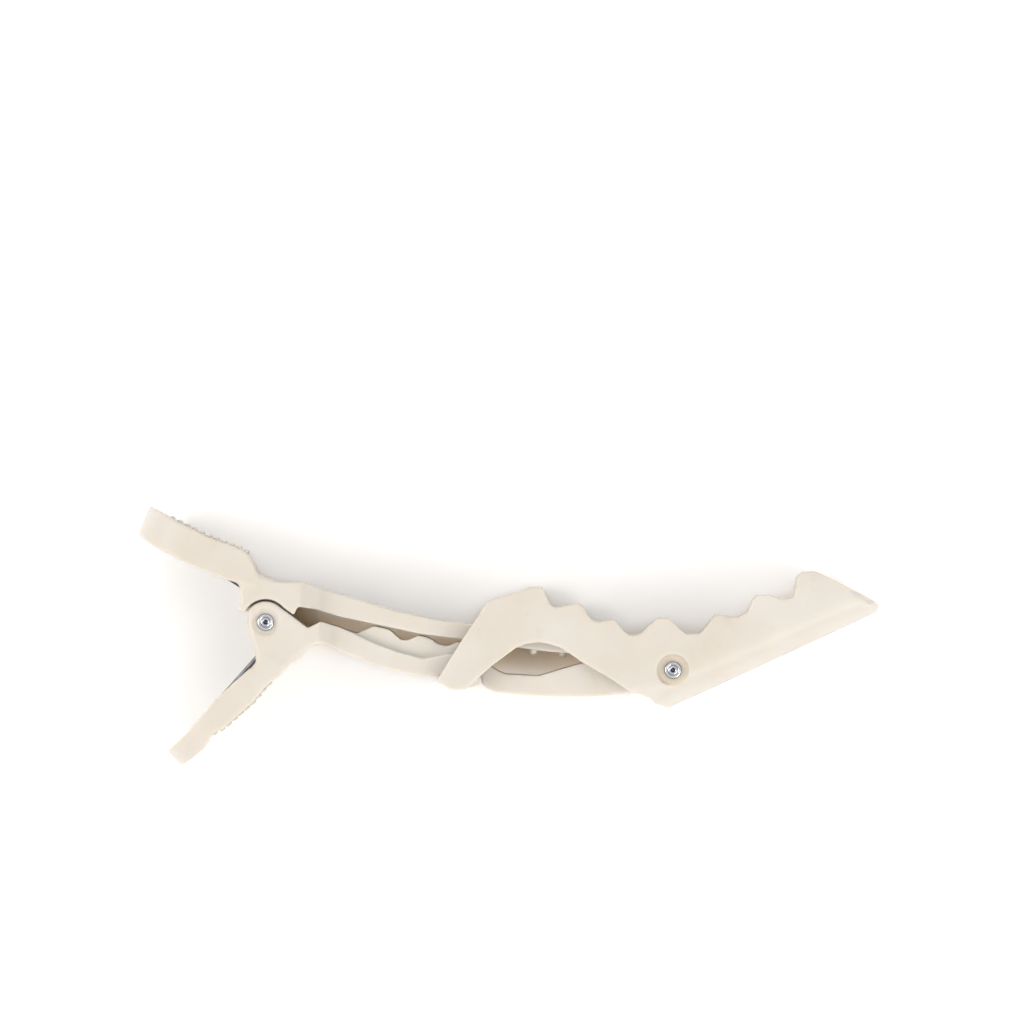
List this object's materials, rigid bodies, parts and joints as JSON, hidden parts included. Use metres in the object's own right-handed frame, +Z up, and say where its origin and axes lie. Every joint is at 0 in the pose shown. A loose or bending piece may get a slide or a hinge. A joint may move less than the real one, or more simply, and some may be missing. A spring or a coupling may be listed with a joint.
{
  "type": "hair sectioning clip",
  "caption": "Double-hinged crocodile clip for sectioning hair: two sprung levers squeezed by finger pads, and a rocking toothed front jaw.",
  "frame": {"origin": "centre of the bounding box at its lowest face: the clip lies on its side on z = 0", "axes": "+X from the finger pads towards the jaw's tip, +Y from the lower lever towards the upper lever, +Z up along both hinge pins"},
  "size_m": [0.1145, 0.0403, 0.0166],
  "materials": {
    "ivory_plastic": "semi-matt moulded ivory",
    "rivet_steel": "bright turned steel",
    "spring_wire": "dark drawn wire",
    "grip_silicone": "glossy soft silicone"
  },
  "bodies": {
    "lower": {"lower_lever": "ivory_plastic", "rear_rivet": "rivet_steel", "front_rivet": "rivet_steel", "rear_spring": "spring_wire"},
    "upper": {"upper_lever": "ivory_plastic", "grip_strip": "grip_silicone"},
    "jaw": {"front_jaw": "ivory_plastic"}
  },
  "joints": [
    {"name": "rear_hinge", "type": "hinge", "parent": "lower", "child": "upper", "pos_m": [-0.0376, 0.00215, 0.0083], "axis": [0, 0, 1], "range_deg": [0, 40], "stiffness_Nm_per_rad": 0.07, "springref_deg": -34.38, "deforming": ["rear_spring"]},
    {"name": "front_hinge", "type": "hinge", "parent": "lower", "child": "jaw", "pos_m": [0.0252, -0.00525, 0.0083], "axis": [0, 0, 1], "range_deg": [0, 6]}
  ]
}
